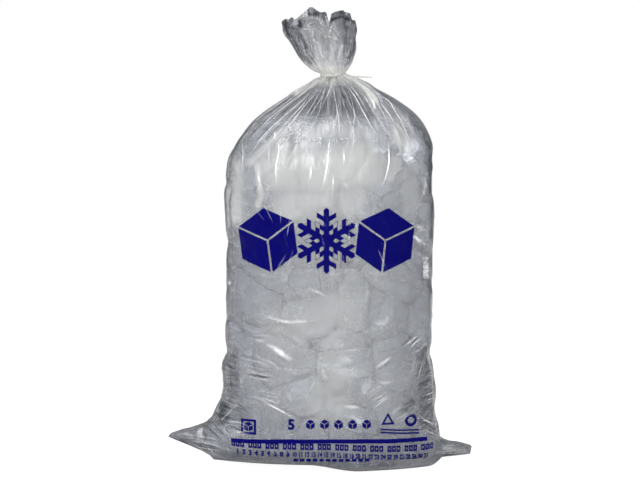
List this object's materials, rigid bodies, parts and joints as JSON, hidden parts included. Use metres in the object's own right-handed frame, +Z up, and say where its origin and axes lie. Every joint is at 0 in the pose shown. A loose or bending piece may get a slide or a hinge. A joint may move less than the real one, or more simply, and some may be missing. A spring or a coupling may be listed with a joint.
{
  "type": "bag of ice",
  "caption": "Tied clear plastic bag standing full of ice lumps, gathered at the neck with a frilled top and flat-welded corners at the base.",
  "frame": {"origin": "on the floor, midway between the two corners of the bottom weld and midway through the bag's depth", "axes": "+Z up, +X to the right along the bottom weld as the printed front is seen, -Y out of the printed front"},
  "size_m": [0.3, 0.1522, 0.4409],
  "materials": {
    "film": "clear, glossy, slightly smoky crinkled film",
    "ice": "cloudy frosted ice, melted smooth at the corners",
    "tie": "natural nylon",
    "ink": "printed navy ink"
  },
  "bodies": {
    "root": {"bag_film": "film", "ice_lump_01": "ice", "ice_lump_02": "ice", "ice_lump_03": "ice", "ice_lump_04": "ice", "ice_lump_05": "ice", "ice_lump_06": "ice", "ice_lump_07": "ice", "ice_lump_08": "ice", "ice_lump_09": "ice", "ice_lump_10": "ice", "ice_lump_11": "ice", "ice_lump_12": "ice", "ice_lump_13": "ice", "ice_lump_14": "ice", "ice_lump_15": "ice", "ice_lump_16": "ice", "ice_lump_17": "ice", "ice_lump_18": "ice", "ice_lump_19": "ice", "ice_lump_20": "ice", "ice_lump_21": "ice", "ice_lump_22": "ice", "ice_lump_23": "ice", "ice_lump_24": "ice", "ice_lump_25": "ice", "ice_lump_26": "ice", "ice_lump_27": "ice", "ice_lump_28": "ice", "ice_lump_29": "ice", "ice_lump_30": "ice", "ice_lump_31": "ice", "ice_lump_32": "ice", "ice_lump_33": "ice", "ice_lump_34": "ice", "ice_lump_35": "ice", "ice_lump_36": "ice", "ice_lump_37": "ice", "ice_lump_38": "ice", "ice_lump_39": "ice", "ice_lump_40": "ice", "ice_lump_41": "ice", "ice_lump_42": "ice", "ice_lump_43": "ice", "ice_lump_44": "ice", "ice_lump_45": "ice", "ice_lump_46": "ice", "ice_lump_47": "ice", "ice_lump_48": "ice", "ice_lump_49": "ice", "ice_lump_50": "ice", "ice_lump_51": "ice", "ice_lump_52": "ice", "ice_lump_53": "ice", "ice_lump_54": "ice", "ice_lump_55": "ice", "ice_lump_56": "ice", "ice_lump_57": "ice", "neck_tie": "tie"}
  },
  "joints": []
}
